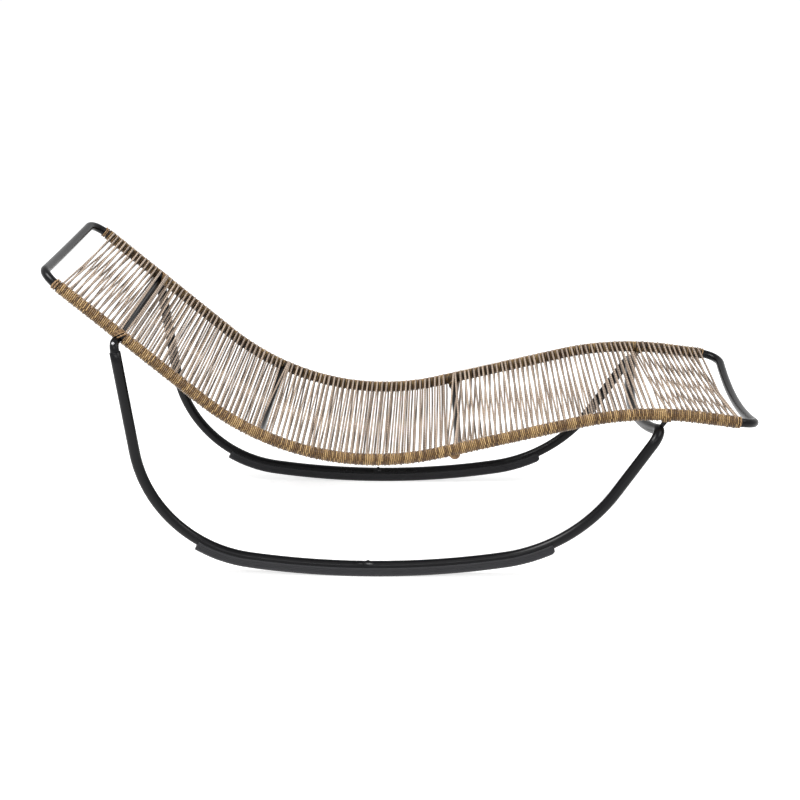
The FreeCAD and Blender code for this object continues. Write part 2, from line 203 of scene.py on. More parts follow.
def surface(name, grid, finish, replaces=(), uv=None, ring=False, helix=0, mirrored=False):
    # One mesh from a stack of grids (piece, row, column, xyz). Columns close on themselves,
    # or, on a helix, on the row that is one turn back. A ring's last row meets its first;
    # any other piece has a flat face over each end.
    if mirrored:
        grid = grid * mirrorY
    if grid.ndim == 3:
        grid = grid[None]
    count, rows, cols = grid.shape[:3]
    ids = np.arange(count * rows * cols).reshape(count, rows, cols)
    after = np.roll(ids, -1, axis=2)
    if helix:
        back = np.maximum(np.arange(rows) - helix, 0)
        after[:, :, -1] = ids[:, back, 0]
    quads = np.stack([ids[:, :-1], after[:, :-1], after[:, 1:], ids[:, 1:]], -1).reshape(-1, 4)
    caps = np.concatenate([ids[:, 0, ::-1], ids[:, -1]])
    if ring:
        joint = np.stack([ids[:, -1], after[:, -1], after[:, 0], ids[:, 0]], -1)
        quads = np.concatenate([quads, joint.reshape(-1, 4)])
        caps = np.zeros((0, cols), int)
    mesh = bpy.data.meshes.new(name)
    mesh.vertices.add(ids.size)
    mesh.vertices.foreach_set("co", grid.reshape(-1))
    loops = np.concatenate([quads.ravel(), caps.ravel()])
    mesh.loops.add(loops.size)
    mesh.loops.foreach_set("vertex_index", loops.astype(np.int32))
    sizes = np.concatenate([np.full(len(quads), 4), np.full(len(caps), cols)])
    mesh.polygons.add(sizes.size)
    starts = np.concatenate([[0], np.cumsum(sizes)[:-1]]).astype(np.int32)
    mesh.polygons.foreach_set("loop_start", starts)
    mesh.polygons.foreach_set("loop_total", sizes.astype(np.int32))
    smooth = np.arange(sizes.size) < len(quads)
    mesh.polygons.foreach_set("use_smooth", smooth)
    if uv is not None:
        rowMap = np.broadcast_to(uv, (count, rows))
        mapped = [cornerMap(rowMap[:, :-1], rowMap[:, 1:], cols)]
        if ring:
            mapped.append(cornerMap(rowMap[:, -1:], rowMap[:, -1:], cols))
        mapped.append(np.zeros((caps.size, 2)))
        layer = mesh.uv_layers.new(name="cordMap")
        layer.data.foreach_set("uv", np.concatenate(mapped).ravel())
    mesh.update(calc_edges=True)
    if mirrored:
        mesh.flip_normals()
    mesh.validate()
    piece = bpy.data.objects.new(name, mesh)
    bpy.context.scene.collection.objects.link(piece)
    mesh.materials.append(finish["material"])
    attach(piece, "root")
    if replaces:
        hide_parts(*replaces)


def pair(name, grid, finish, node, shared=False, **more):
    # The left-hand piece and its mirror image, each in place of its own CAD node, or both in
    # place of one node that they share.
    for word in ("Left", "Right"):
        nodeName = node if shared else node + "_" + word.lower()
        surface(name + word, grid, finish, (nodeName,), mirrored=word == "Right", **more)


def put(tree, kind, inputs=None, **settings):
    # A new node with its settings; each input is linked to a socket or set to a constant.
    made = tree.nodes.new(kind)
    for key, value in settings.items():
        setattr(made, key, value)
    for key, value in (inputs or {}).items():
        if isinstance(value, bpy.types.NodeSocket):
            tree.links.new(value, made.inputs[key])
        else:
            made.inputs[key].default_value = value
    return made


def maths(tree, operation, *values):
    # The result of one sum; each value is a socket or a number.
    return put(tree, "ShaderNodeMath", dict(enumerate(values)), operation=operation).outputs[0]


def blendColour(tree, factor, first, second):
    # On a colour mix the factor is socket 0, and the two colours are sockets 6 and 7.
    inputs = {0: factor, 6: first, 7: second}
    return put(tree, "ShaderNodeMix", inputs, data_type="RGBA").outputs[2]


def newGroup(name, inputs, outputs):
    # A node group whose inputs are numbers, or vectors where the value is None.
    group = bpy.data.node_groups.new(name, "ShaderNodeTree")
    for label, value in inputs.items():
        kind = "NodeSocketVector" if value is None else "NodeSocketFloat"
        socket = group.interface.new_socket(label, in_out="INPUT", socket_type=kind)
        if value is not None:
            socket.default_value = value
    for label in outputs:
        group.interface.new_socket(label, in_out="OUTPUT", socket_type="NodeSocketFloat")
    entry = group.nodes.new("NodeGroupInput")
    leave = group.nodes.new("NodeGroupOutput")
    return group, entry.outputs, leave.inputs


fibre = {
    "twist": 120.0, "plies": 2.0, "streaksPerMetre": 90.0, "streaksRound": 1.5, "detail": 3.0,
}


def fibreGroup():
    # Two plies twisted together: sin of (length*twist + turns round the cord), with long
    # streaks of noise drawn out along the fibres.
    inputs = {"Along": 0.0, "Around": 0.0, "Twist": fibre["twist"]}
    group, given, result = newGroup("cordFibres", inputs, ["Ply", "Streak"])
    turns = maths(group, "MULTIPLY", given["Along"], given["Twist"])
    lay = maths(group, "MULTIPLY", given["Around"], fibre["plies"])
    phase = maths(group, "ADD", turns, lay)
    ply = maths(group, "SINE", maths(group, "MULTIPLY", phase, 2 * math.pi))
    group.links.new(maths(group, "MULTIPLY_ADD", ply, 0.5, 0.5), result["Ply"])
    along = maths(group, "MULTIPLY", given["Along"], fibre["streaksPerMetre"])
    across = maths(group, "MULTIPLY", phase, fibre["streaksRound"])
    where = put(group, "ShaderNodeCombineXYZ", {0: along, 1: across}).outputs[0]
    noise = put(
        group, "ShaderNodeTexNoise", {"Vector": where, "Scale": 1.0, "Detail": fibre["detail"]}
    )
    group.links.new(noise.outputs[0], result["Streak"])
    return group


wear = {"grain": 900.0, "dust": 6.0, "dustDetail": 4.0}


def wearGroup():
    # Fine orange peel of sprayed paint or moulded skin, and broad faint dust.
    inputs = {"Vector": None, "Grain": wear["grain"], "Dust": wear["dust"]}
    group, given, result = newGroup("surfaceWear", inputs, ["Height", "Patch"])
    place = given["Vector"]
    peel = put(group, "ShaderNodeTexNoise", {"Vector": place, "Scale": given["Grain"]})
    dust = put(
        group,
        "ShaderNodeTexNoise",
        {"Vector": place, "Scale": given["Dust"], "Detail": wear["dustDetail"]},
    )
    group.links.new(peel.outputs[0], result["Height"])
    group.links.new(dust.outputs[0], result["Patch"])
    return group


fibres = fibreGroup()
surfaceWear = wearGroup()


def blankMaterial(name):
    # A new material, its node tree and the node of its skin.
    material = bpy.data.materials.new(name)
    material.use_nodes = True
    return material, material.node_tree, material.node_tree.nodes["Principled BSDF"]


def raiseBump(tree, skinNode, height, look):
    # Tilts the skin's normals by a height mask, bumpDepth deep where the mask is 1.
    bump = put(
        tree,
        "ShaderNodeBump",
        {"Height": height, "Strength": look["bump"], "Distance": look["bumpDepth"]},
    )
    tree.links.new(bump.outputs[0], skinNode.inputs["Normal"])


def wornSurface(name, slot, look):
    # Plain painted, moulded or metal skin: the dust mixes a dark shade with a light one,
    # and the roughness is rough + roughSpread*dust.
    material, tree, skinNode = blankMaterial(name)
    inputs = {
        "Vector": put(tree, "ShaderNodeTexCoord").outputs["Object"],
        "Grain": look["grain"], "Dust": look["dust"],
    }
    worn = put(tree, "ShaderNodeGroup", inputs, node_tree=surfaceWear).outputs
    colour = blendColour(tree, worn["Patch"], look["dark"], look["light"])
    tree.links.new(colour, skinNode.inputs["Base Color"])
    rough = maths(tree, "MULTIPLY_ADD", worn["Patch"], look["roughSpread"], look["rough"])
    tree.links.new(rough, skinNode.inputs["Roughness"])
    raiseBump(tree, skinNode, worn["Height"], look)
    skinNode.inputs["Metallic"].default_value = look["metal"]
    skinNode.inputs["Specular IOR Level"].default_value = look["gloss"]
    return {"material": material, "slot": slot}


def threeStops(tree, factor, stops):
    # Colour ramp through a dark, a middle and a light shade.
    dark, middle, light = stops
    ramp = put(tree, "ShaderNodeValToRGB", {"Fac": factor})
    marks = ramp.color_ramp.elements
    marks[0].position, marks[0].color = dark
    marks[1].position, marks[1].color = light
    marks.new(middle[0]).color = middle[1]
    return ramp.outputs[0]


def shadeWinding(tree, colour, turns, turn, look):
    # Painted shade in the groove between two turns, by (2*distance off the turn)^grooveEdge,
    # and painted shade on the rail's inner side, under the strands.
    off = maths(tree, "ABSOLUTE", maths(tree, "SUBTRACT", turns, turn))
    groove = maths(tree, "POWER", maths(tree, "MULTIPLY", off, 2.0), look["grooveEdge"])
    colour = blendColour(tree, groove, colour, look["paintedShadeColour"])
    where = put(tree, "ShaderNodeTexCoord").outputs["Object"]
    sideways = put(tree, "ShaderNodeSeparateXYZ", {"Vector": where}).outputs[1]
    inner = put(tree, "ShaderNodeMapRange", {
        "Value": maths(tree, "ABSOLUTE", sideways), "From Min": look["innerFrom"],
        "From Max": look["innerTo"], "To Min": 1.0, "To Max": 0.0,
    }).outputs[0]
    # painted shade that beats: every third turn sinks between the strands, so a dark gap
    # repeats at their pitch, partly the black tube showing through and partly shade
    beat = maths(tree, "MULTIPLY", turns, 2 * math.pi / look["gapTurns"])
    beat = maths(tree, "SINE", beat)
    beat = maths(tree, "MULTIPLY_ADD", beat, look["gapShade"], look["innerShade"])
    inner = maths(tree, "MULTIPLY", inner, beat)
    return blendColour(tree, inner, colour, look["paintedShadeColour"])


def shadeFlanks(tree, colour, around, look):
    # Painted shade down both flanks of a cord, whose crown is at v = 0: cos(2pi*v) from
    # crownFrom up is in full light.
    crown = maths(tree, "COSINE", maths(tree, "MULTIPLY", around, 2 * math.pi))
    flank = put(tree, "ShaderNodeMapRange", {
        "Value": crown, "From Min": 0.0, "From Max": look["crownFrom"],
        "To Min": look["flankShade"], "To Max": 0.0,
    }).outputs[0]
    return blendColour(tree, flank, colour, look["flankShadeColour"])


def cordSurface(name, wound, look):
    # Cord colour, looked up by (plyShare*ply + streak + tintShare*tint)*mixScale, with one
    # tint for each turn or strand, and then painted shade where cords lie in shade.
    material, tree, skinNode = blankMaterial(name)
    place = put(tree, "ShaderNodeUVMap", uv_map="cordMap").outputs[0]
    u, v, _ = put(tree, "ShaderNodeSeparateXYZ", {"Vector": place}).outputs
    if wound:
        # u counts turns and v goes round the rail, so the cord's own length is v
        along = maths(tree, "MULTIPLY_ADD", v, look["turnLength"], u)
        around = maths(tree, "MULTIPLY", u, look["layPerTurn"])
        turn = maths(tree, "FLOOR", maths(tree, "ADD", u, 0.5))
    else:
        along, around = u, v
        turn = maths(tree, "FLOOR", u)
    inputs = {"Along": along, "Around": around, "Twist": look["twist"]}
    made = put(tree, "ShaderNodeGroup", inputs, node_tree=fibres).outputs
    tint = put(tree, "ShaderNodeTexWhiteNoise", {"W": turn}, noise_dimensions="1D").outputs[0]
    mixed = maths(tree, "MULTIPLY_ADD", made["Ply"], look["plyShare"], made["Streak"])
    mixed = maths(tree, "MULTIPLY_ADD", tint, look["tintShare"], mixed)
    mixed = maths(tree, "MULTIPLY", mixed, look["mixScale"])
    colour = threeStops(tree, mixed, look["stops"])
    if wound:
        colour = shadeWinding(tree, colour, u, turn, look)
    else:
        colour = shadeFlanks(tree, colour, v, look)
    tree.links.new(colour, skinNode.inputs["Base Color"])
    raiseBump(tree, skinNode, mixed, look)
    skinNode.inputs["Roughness"].default_value = look["rough"]
    skinNode.inputs["Sheen Weight"].default_value = look["sheen"]
    skinNode.inputs["Specular IOR Level"].default_value = look["gloss"]
    return {"material": material, "slot": "brown_cord"}


blackPaint = wornSurface("blackPaint", "black_tube", {
    "dark": (0.0025, 0.0025, 0.003, 1), "light": (0.005, 0.005, 0.006, 1), "grain": 900.0,
    "dust": 6.0, "rough": 0.24, "roughSpread": 0.08, "bump": 0.08, "bumpDepth": 0.0004,
    "gloss": 0.17, "metal": 0.0,
})
runnerPlastic = wornSurface("runnerPlastic", "charcoal_runner", {
    "dark": (0.010, 0.010, 0.012, 1), "light": (0.020, 0.020, 0.023, 1), "grain": 1600.0,
    "dust": 9.0, "rough": 0.42, "roughSpread": 0.16, "bump": 0.15, "bumpDepth": 0.0003,
    "gloss": 0.30, "metal": 0.0,
})
screwSteel = wornSurface("screwSteel", "screw_steel", {
    "dark": (0.20, 0.20, 0.21, 1), "light": (0.36, 0.36, 0.37, 1), "grain": 3000.0,
    "dust": 60.0, "rough": 0.30, "roughSpread": 0.15, "bump": 0.1, "bumpDepth": 0.0002,
    "gloss": 0.5, "metal": 1.0,
})
# The winding gets painted shade down in its grooves and on the rails' inner side.
windingCord = cordSurface("windingCord", True, {
    "turnLength": 0.0785, "layPerTurn": 0.5, "twist": 110.0, "plyShare": 0.40,
    "tintShare": 0.42, "mixScale": 0.70,
    "stops": [
        (0.44, (0.046, 0.020, 0.006, 1)), (0.65, (0.330, 0.174, 0.062, 1)),
        (0.85, (0.960, 0.650, 0.290, 1)),
    ],
    "grooveEdge": 0.95, "paintedShadeColour": (0.004, 0.002, 0.001, 1),
    "innerFrom": 0.288, "innerTo": 0.300, "innerShade": 0.62, "gapShade": 0.30, "gapTurns": 3,
    "bump": 0.4, "bumpDepth": 0.0006, "rough": 0.38, "sheen": 0.02, "gloss": 0.28,
})
# The strands get painted shade down their flanks; the loose cord below gets none.
strandCord = cordSurface("strandCord", False, {
    "twist": 60.0, "plyShare": 0.45, "tintShare": 0.25, "mixScale": 0.80,
    "stops": [
        (0.36, (0.060, 0.038, 0.026, 1)), (0.58, (0.225, 0.158, 0.112, 1)),
        (0.88, (0.610, 0.470, 0.350, 1)),
    ],
    "crownFrom": 0.85, "flankShade": 0.85, "flankShadeColour": (0.030, 0.018, 0.011, 1),
    "bump": 0.5, "bumpDepth": 0.0006, "rough": 0.50, "sheen": 0.08, "gloss": 0.35,
})
looseCord = cordSurface("looseCord", False, {
    "twist": 110.0, "plyShare": 0.40, "tintShare": 0.15, "mixScale": 0.80,
    "stops": [
        (0.28, (0.040, 0.020, 0.008, 1)), (0.60, (0.220, 0.125, 0.055, 1)),
        (1.00, (0.520, 0.340, 0.170, 1)),
    ],
    "crownFrom": 0.85, "flankShade": 0.0, "flankShadeColour": (0.030, 0.018, 0.011, 1),
    "bump": 0.5, "bumpDepth": 0.0006, "rough": 0.48, "sheen": 0.05, "gloss": 0.35,
})
print("materials made")

# The rails: tube is a radius, and the At values are distances from the rail's head end.
seat = {
    "tube": 0.011, "sides": 28, "railY": 0.3,
    "headX": -0.7676, "headZ": 0.7484, "backAngle": -40.1, "back": 0.4744,
    "lumbarRadius": 0.6536, "lumbarTurn": 53.6, "thigh": 0.345,
    "kneeRadius": 0.811, "kneeTurn": -20.7, "calf": 0.1437,
    "hoopRadius": 0.049, "headHoopDrop": 0.009, "footHoopDrop": 0.032,
    "headBarAt": 0.233, "lumbarBarAt": 0.6488, "centreBarAt": 1.126, "footBarToTip": 0.238,
}
railRoute = {
    "start": np.array([seat["headX"], seat["railY"], seat["headZ"]]),
    "ahead": slopeWay(seat["backAngle"]),
    "side": leftward,
    "legs": [
        (seat["back"], still),
        arcLeg(seat["lumbarRadius"], seat["lumbarTurn"], turnUp),
        (seat["thigh"], still),
        arcLeg(seat["kneeRadius"], seat["kneeTurn"], turnUp),
        (seat["calf"], still),
    ],
}
railLength = lengthOf(railRoute["legs"])
footBarAt = railLength - seat["footBarToTip"]


def onRail(at, y, above=0.0):
    # Point beside or above the rail, and the rail's heading and upward direction there.
    point, ahead, side = bentPath(railRoute, at)
    up = np.cross(ahead, side)
    return point * midPlane + leftward * y + up * above, ahead, up


tipAhead, tipUp = onRail(railLength, seat["railY"])[1:]
headSag = np.cross(leftward, railRoute["ahead"])
headReach, headLegs = crossTube(
    -railRoute["ahead"], headSag, seat["headHoopDrop"], seat["hoopRadius"], seat["railY"]
)
footReach, footLegs = crossTube(
    tipAhead, -tipUp, seat["footHoopDrop"], seat["hoopRadius"], seat["railY"]
)
railFrom, railTo = headReach, railLength - footReach
frameHalf = [
    *[(length, -curve) for length, curve in reversed(headLegs)],
    (seat["back"] - headReach, still),
    *railRoute["legs"][1:4],
    (seat["calf"] - footReach, still),
    *footLegs,
]
frameRoute = {
    "start": np.array([seat["headX"], 0, seat["headZ"]]) + headSag * seat["headHoopDrop"],
    "ahead": leftward,
    "side": -railRoute["ahead"],
    "legs": frameHalf + mirroredBack(frameHalf),
}

# The rockers: mouth is how far under the head crossbar's axis the legs' tubes begin.
base = {
    "tube": 0.0135, "sides": 32, "outset": 0.035, "radius": 2.1,
    "headBend": 0.32, "headLegAngle": 82.2, "footBend": 0.4, "footLegAngle": 56.2,
    "mouth": 0.019, "seamOffset": 0.012, "seamGap": 0.0002, "runnerDepth": 0.0095,
}
headBar = {"depth": 0.0164, "elbowRadius": 0.018, "spigot": 0.06}
footBar = {"corner": 0.032, "drop": 0.06, "gap": 0.011, "trialPoints": 4001}
cord = {"across": 0.004, "pitch": 0.00447, "bareGap": 0.0225, "sides": 8}
rockerY = seat["railY"] + base["outset"]
legDown = slopeWay(-base["headLegAngle"])
footLeg = slopeWay(base["footLegAngle"])
headBarPoint = onRail(seat["headBarAt"], 0, -headBar["depth"])[0]

# The foot crossbar bows down along the legs. A trial run of it tells how far it has sunk where
# it passes under the rails, and there it keeps its gap to the winding.
cornerReach, cornerLegs = crossTube(
    footLeg, -footLeg, footBar["drop"], footBar["corner"], rockerY
)
trialRoute = {
    "start": leftward * rockerY - footLeg * cornerReach,
    "ahead": footLeg,
    "side": leftward,
    "legs": cornerLegs,
}
trial = bentPath(trialRoute, np.linspace(0, lengthOf(cornerLegs), footBar["trialPoints"]))[0]
sunk = -(trial @ footLeg)[np.abs(trial[:, 1] - seat["railY"]).argmin()]
footBarDepth = seat["tube"] + cord["across"] + base["tube"] + footBar["gap"]
footBarPoint = onRail(footBarAt, 0, -footBarDepth)[0] + footLeg * sunk
baseCentre = np.array([0, 0, base["tube"] + base["runnerDepth"] + base["radius"]])


def runIntoBase(point, downLeg, side, radius):
    # How far down a leg its bend begins, so that it runs into the base arc, and the slope
    # of the base where they meet. There the two arcs' centres lie R - r apart.
    offset = point + side * radius - baseCentre
    half = offset.dot(downLeg)
    gap = offset.dot(offset) - (base["radius"] - radius) ** 2
    reach = math.sqrt(half * half - gap) - half
    centre = offset + downLeg * reach
    return reach, math.degrees(math.atan2(centre[0], -centre[2]))


headRun, headSlope = runIntoBase(
    headBarPoint, legDown, slopeWay(90 - base["headLegAngle"]), base["headBend"]
)
footRun, footSlope = runIntoBase(
    footBarPoint, -footLeg, slopeWay(90 + base["footLegAngle"]), base["footBend"]
)
rockerRoute = {
    "start": headBarPoint + legDown * base["mouth"] + leftward * rockerY,
    "ahead": legDown,
    "side": leftward,
    "legs": [
        (headRun - base["mouth"], still),
        arcLeg(base["headBend"], headSlope + base["headLegAngle"], turnUp),
        arcLeg(base["radius"], footSlope - headSlope, turnUp),
        arcLeg(base["footBend"], base["footLegAngle"] - footSlope, turnUp),
        (footRun - cornerReach, still),
    ],
}
baseFrom, baseTo = lengthOf(rockerRoute["legs"][:2]), lengthOf(rockerRoute["legs"][:3])
touchAt = baseFrom - base["radius"] * math.radians(headSlope)
seamAt = touchAt - base["seamOffset"]


def slopeAt(degrees):
    # Distance along the rocker at which the base, or the bend past it, has this slope.
    if degrees < headSlope:
        legLength = rockerRoute["legs"][0][0]
        return legLength + base["headBend"] * math.radians(degrees + base["headLegAngle"])
    if degrees > footSlope:
        return baseTo + base["footBend"] * math.radians(degrees - footSlope)
    return touchAt + base["radius"] * math.radians(degrees)


seamPoint, seamAhead, seamSide = bentPath(rockerRoute, seamAt)
footHalf = [
    (baseTo - seamAt, rockerRoute["legs"][2][1]), *rockerRoute["legs"][3:], *cornerLegs,
]
footFrameRoute = {
    "start": seamPoint,
    "ahead": seamAhead,
    "side": seamSide,
    "legs": footHalf + mirroredBack(footHalf),
}
elbowRadius = headBar["elbowRadius"]
barHalf = [
    (headBar["spigot"], still),
    (elbowRadius * math.pi / 2, unit(np.cross(-legDown, -leftward)) / elbowRadius),
    (rockerY - elbowRadius, still),
]
headBarRoute = {
    "start": headBarPoint + leftward * rockerY + legDown * (elbowRadius + headBar["spigot"]),
    "ahead": -legDown,
    "side": leftward,
    "legs": barHalf + mirroredBack(barHalf),
}
print("routes worked out")

cutEdge = {"length": 0.00048, "depth": 0.0008}


def smoothTube(route, start, end, radius, sides, cut=False):
    # A round bar: rings of one radius, and where it is cut, both ends' edges drawn in.
    at = stations(route, start, end)
    size = np.full(at.size, radius)
    if cut:
        edge = cutEdge["length"]
        at = np.concatenate([[start, start + edge], at[1:-1], [end - edge, end]])
        size = np.full(at.size, radius)
        size[[0, -1]] -= cutEdge["depth"]
    return skin(route, at[:, None], ringAngles(sides), size[:, None])


# The seat frame goes once round, so its last ring, which would lie on the first, is left out.
frameLength = lengthOf(frameRoute["legs"])
surface(
    "seatTube",
    smoothTube(frameRoute, 0, frameLength, seat["tube"], seat["sides"])[:-1],
    blackPaint,
    ("seat_frame_left", "seat_frame_right"),
    ring=True,
)
pair(
    "headRocker",
    smoothTube(rockerRoute, 0, seamAt - base["seamGap"], base["tube"], base["sides"], cut=True),
    blackPaint,
    "head_rocker",
)
footFrameLength = lengthOf(footFrameRoute["legs"])
surface(
    "footFrame",
    smoothTube(footFrameRoute, 0, footFrameLength, base["tube"], base["sides"], cut=True),
    blackPaint,
    ("foot_frame",),
)
surface(
    "headCrossbar",
    smoothTube(headBarRoute, 0, lengthOf(headBarRoute["legs"]), seat["tube"], seat["sides"]),
    blackPaint,
    ("head_crossbar",),
)
stretcher = {
    "tube": 0.0095, "sides": 24, "middle": 0.048, "cut": 0.004,
    "lumbar": {"at": seat["lumbarBarAt"], "depth": 0.004, "over": 0.001},
    "centre": {"at": seat["centreBarAt"], "depth": 0.011, "over": 0.004},
}


def stretcherRoute(word):
    # Arc through both rails' undersides that hangs lower in the middle. Its radius is
    # (reach^2 + drop^2)/(2*drop), and half its angle has the sine reach/radius.
    bar = stretcher[word]
    drop, reach = stretcher["middle"] - bar["depth"], seat["railY"] + bar["over"]
    radius = (reach**2 + drop**2) / (2 * drop)
    half = math.asin(reach / radius)
    point, ahead, up = onRail(bar["at"], reach, -bar["depth"])
    heading = -leftward * math.cos(half) - up * math.sin(half)
    return {
        "start": point,
        "ahead": heading,
        "side": -ahead,
        "legs": [(2 * radius * half, unit(np.cross(heading, up)) / radius)],
    }


for word in ("lumbar", "centre"):
    route = stretcherRoute(word)
    start, end = stretcher["cut"], lengthOf(route["legs"]) - stretcher["cut"]
    surface(
        word + "Stretcher",
        smoothTube(route, start, end, stretcher["tube"], stretcher["sides"]),
        blackPaint,
        (word + "_stretcher",),
    )
print("tubes bent")

# Steps are rings a turn. The slack swells and shrinks the winding over a few turns.
winding = {
    "steps": 6, "sides": 20, "unevenRadius": 0.00015, "spareTurns": 4,
    "slackRadius": 0.00015, "slackWave": 0.61, "slackDrift": 3.0, "driftWave": 0.043,
}


def woundCord(route, start, end, bareRadius):
    # A helix of cord as one skin: s = start + (turn - angle/2pi)*pitch, and the radius is the
    # bare tube plus half a cord plus the cord's own round, sqrt(c^2 - d^2), d off its middle.
    half = cord["across"] / 2
    turns = (end - start) / cord["pitch"]
    rows = int(turns * winding["steps"]) + winding["steps"]
    turn = np.arange(rows)[:, None] / winding["steps"]
    angle = ringAngles(winding["sides"])[None, :]
    at = np.clip(start + (turn - angle / (2 * math.pi)) * cord["pitch"], start, end)
    off = (turn - np.round(turn)) * cord["pitch"]
    crown = np.sqrt(np.maximum(half**2 - off**2, 0))
    perTurn = chance.normal(0, winding["unevenRadius"], int(turns) + winding["spareTurns"])
    drift = winding["slackDrift"] * np.sin(turn * winding["driftWave"])
    slack = np.sin(turn * winding["slackWave"] + drift) * winding["slackRadius"]
    radius = bareRadius + half + crown + perTurn[np.round(turn).astype(int)] + slack
    return skin(route, at, angle, radius), turn[:, 0]


woundTo = seat["headBarAt"] - cord["bareGap"] / 2
woundFrom = seat["headBarAt"] + cord["bareGap"] / 2
headWound, headTurns = woundCord(railRoute, railFrom, woundTo, seat["tube"])
bodyWound, bodyTurns = woundCord(railRoute, woundFrom, railTo, seat["tube"])
helix = winding["steps"]
pair("headCord", headWound, windingCord, "rail_winding", uv=headTurns, helix=helix)
pair("bodyCord", bodyWound, windingCord, "rail_winding", uv=bodyTurns, helix=helix)
print("rails wound")

# Lift is a strand's height over the rail's axis, dive its depth where it goes into the
# winding, and wrap the angle, in radians, that it turns round the rail. The off values keep
# the strands clear of the winding's ends, the bars, the head joint and the foot post.
strand = {
    "radius": 0.0027, "unevenShare": 0.06, "sides": 7, "lift": 0.0138, "dive": 0.0105,
    "wrap": 0.6, "wrapRows": 3, "rows": 13, "jitter": 0.0009, "press": 0.0025, "sag": 0.0016,
    "offEnd": 0.004, "offBar": 0.009, "offJoint": 0.003, "offPost": 0.0033,
}
# Each panel has a span along the rail and two families of strands, given as pitch, first
# place and skew: over the far rail and under the near one, and under the far rail and over
# the near one.
panels = {
    "headrest": {
        "span": (railFrom + strand["offEnd"], woundTo - strand["offJoint"]),
        "over": (0.01345, 0.0086, 0.003), "under": (0.01355, 0.0014, -0.018),
    },
    "back": {
        "span": (woundFrom + strand["offJoint"], seat["lumbarBarAt"] - strand["offBar"]),
        "over": (0.01345, 0.00615, 0.0041), "under": (0.01345, 0.0006, -0.00405),
    },
    "seat": {
        "span": (seat["lumbarBarAt"] + strand["offBar"], seat["centreBarAt"] - strand["offBar"]),
        "over": (0.01355, 0.00748, -0.00155), "under": (0.01345, 0.00657, 0.00545),
    },
    "thigh": {
        "span": (seat["centreBarAt"] + strand["offBar"], footBarAt - strand["offPost"]),
        "over": (0.01305, 0.0044, 0.005), "under": (0.0133, 0.0132, -0.011),
    },
    "calf": {
        "span": (footBarAt + strand["offPost"], railTo - strand["offEnd"]),
        "over": (0.01385, 0.0083, -0.001), "under": (0.01375, 0.0131, 0.019),
    },
}
# Strands beside the bars: near place and far place off the bar's axis, then whether the
# strand lies over (1) or under (-1) the near and the far rail.
besideBars = {
    "headrest": (seat["headBarAt"], [(-0.0085, -0.0085, 1, 1), (-0.013, -0.0125, 1, 1)]),
    "back": (seat["headBarAt"], [(0.0085, 0.0085, 1, 1), (0.0135, 0.0125, 1, 1)]),
    "seat": (seat["lumbarBarAt"], [(-0.0125, 0.008, -1, 1), (0.014, 0.013, -1, 1)]),
    "thigh": (seat["centreBarAt"], [
        (-0.025, 0.0066, -1, 1), (-0.007, 0.015, 1, -1), (0.0065, 0.021, 1, -1),
    ]),
}


def strandEnds(span, pitch, first, skew):
    # Near and far places of one family; an end that leans out of the panel stops at its edge.
    low, high = span
    steps = np.arange(math.ceil((low - first) / pitch), math.floor((high - first) / pitch) + 1)
    places = first + steps * pitch
    return np.clip(places + skew / 2, low, high), np.clip(places - skew / 2, low, high)


def strandGrid(near, far, nearSign, farSign, index):
    # A strand runs from the top of one rail to the underside of the other, the height going
    # evenly with y, and at both ends turns on round the rail while it dives into the winding.
    # The families press past each other at mid width, by press*(1 - (y/Y)^2).
    count = near.size
    half = seat["railY"]
    wrap = np.linspace(strand["wrap"], 0, strand["wrapRows"] + 1)[:-1]
    rise = np.cos(wrap / strand["wrap"] * math.pi / 2)
    depth = strand["dive"] + (strand["lift"] - strand["dive"]) * rise
    run = np.linspace(half, -half, strand["rows"])
    y = np.concatenate([half + depth * np.sin(wrap), run, -(half + depth * np.sin(wrap))[::-1]])
    mid = np.clip(1 - (y / half) ** 2, 0, 1)
    lean = (farSign - nearSign) / 2
    height = np.concatenate([
        farSign * depth * np.cos(wrap),
        strand["lift"] * ((farSign + nearSign) / 2 + lean * run / half),
        nearSign * (depth * np.cos(wrap))[::-1],
    ])
    height = height + (lean * strand["press"] - strand["sag"]) * mid
    nearJitter = chance.normal(0, strand["jitter"], count)[:, None]
    farJitter = chance.normal(0, strand["jitter"], count)[:, None]
    bow = chance.normal(0, strand["jitter"], count)[:, None] * mid
    share = np.clip((y + half) / (2 * half), 0, 1)
    at = (near[:, None] + nearJitter) * (1 - share) + (far[:, None] + farJitter) * share + bow
    middle, ahead, sideways = bentPath(railRoute, at)
    up = np.cross(ahead, sideways)
    middle = middle * midPlane + leftward * y[:, None] + up * height[:, None]
    size = strand["radius"] * (1 + chance.normal(0, strand["unevenShare"], count))
    grid = cordSkin(middle, ahead, size[:, None, None, None], strand["sides"])
    travelled = np.concatenate([[0], np.cumsum(np.hypot(np.diff(y), np.diff(height)))])
    return grid, travelled[None] + (index + np.arange(count))[:, None]


for name, panel in panels.items():
    groups = [
        (*strandEnds(panel["span"], *panel["over"]), -1, 1),
        (*strandEnds(panel["span"], *panel["under"]), 1, -1),
    ]
    barAt, extras = besideBars.get(name, (0, []))
    for near, far, nearSign, farSign in extras:
        groups.append((np.array([barAt + near]), np.array([barAt + far]), nearSign, farSign))
    made, index = [], 0
    for group in groups:
        made.append(strandGrid(*group, index))
        index += group[0].size
    surface(
        name + "Strands",
        np.concatenate([grid for grid, _ in made]),
        strandCord,
        (name + "_strands",),
        uv=np.concatenate([mapped for _, mapped in made]),
    )
print("strands laced")

# The slopes say where the runner begins and ends. Each flank has three grooves, and the sole
# has fine treads.
runner = {
    "headSlope": -31.5, "footSlope": 27.0, "nose": 0.012, "noseSteps": 9,
    "side": 0.016, "lip": 0.001, "chamfer": 0.005, "cradleGap": 0.0003, "cradleSteps": 15,
    "groove": 0.0009, "grooves": (-0.0045, -0.0085, -0.0125), "grooveMouth": 0.0012,
    "grooveFloor": 0.0006, "tread": 0.0006, "treadHalf": 0.008, "treadSteps": 9,
}


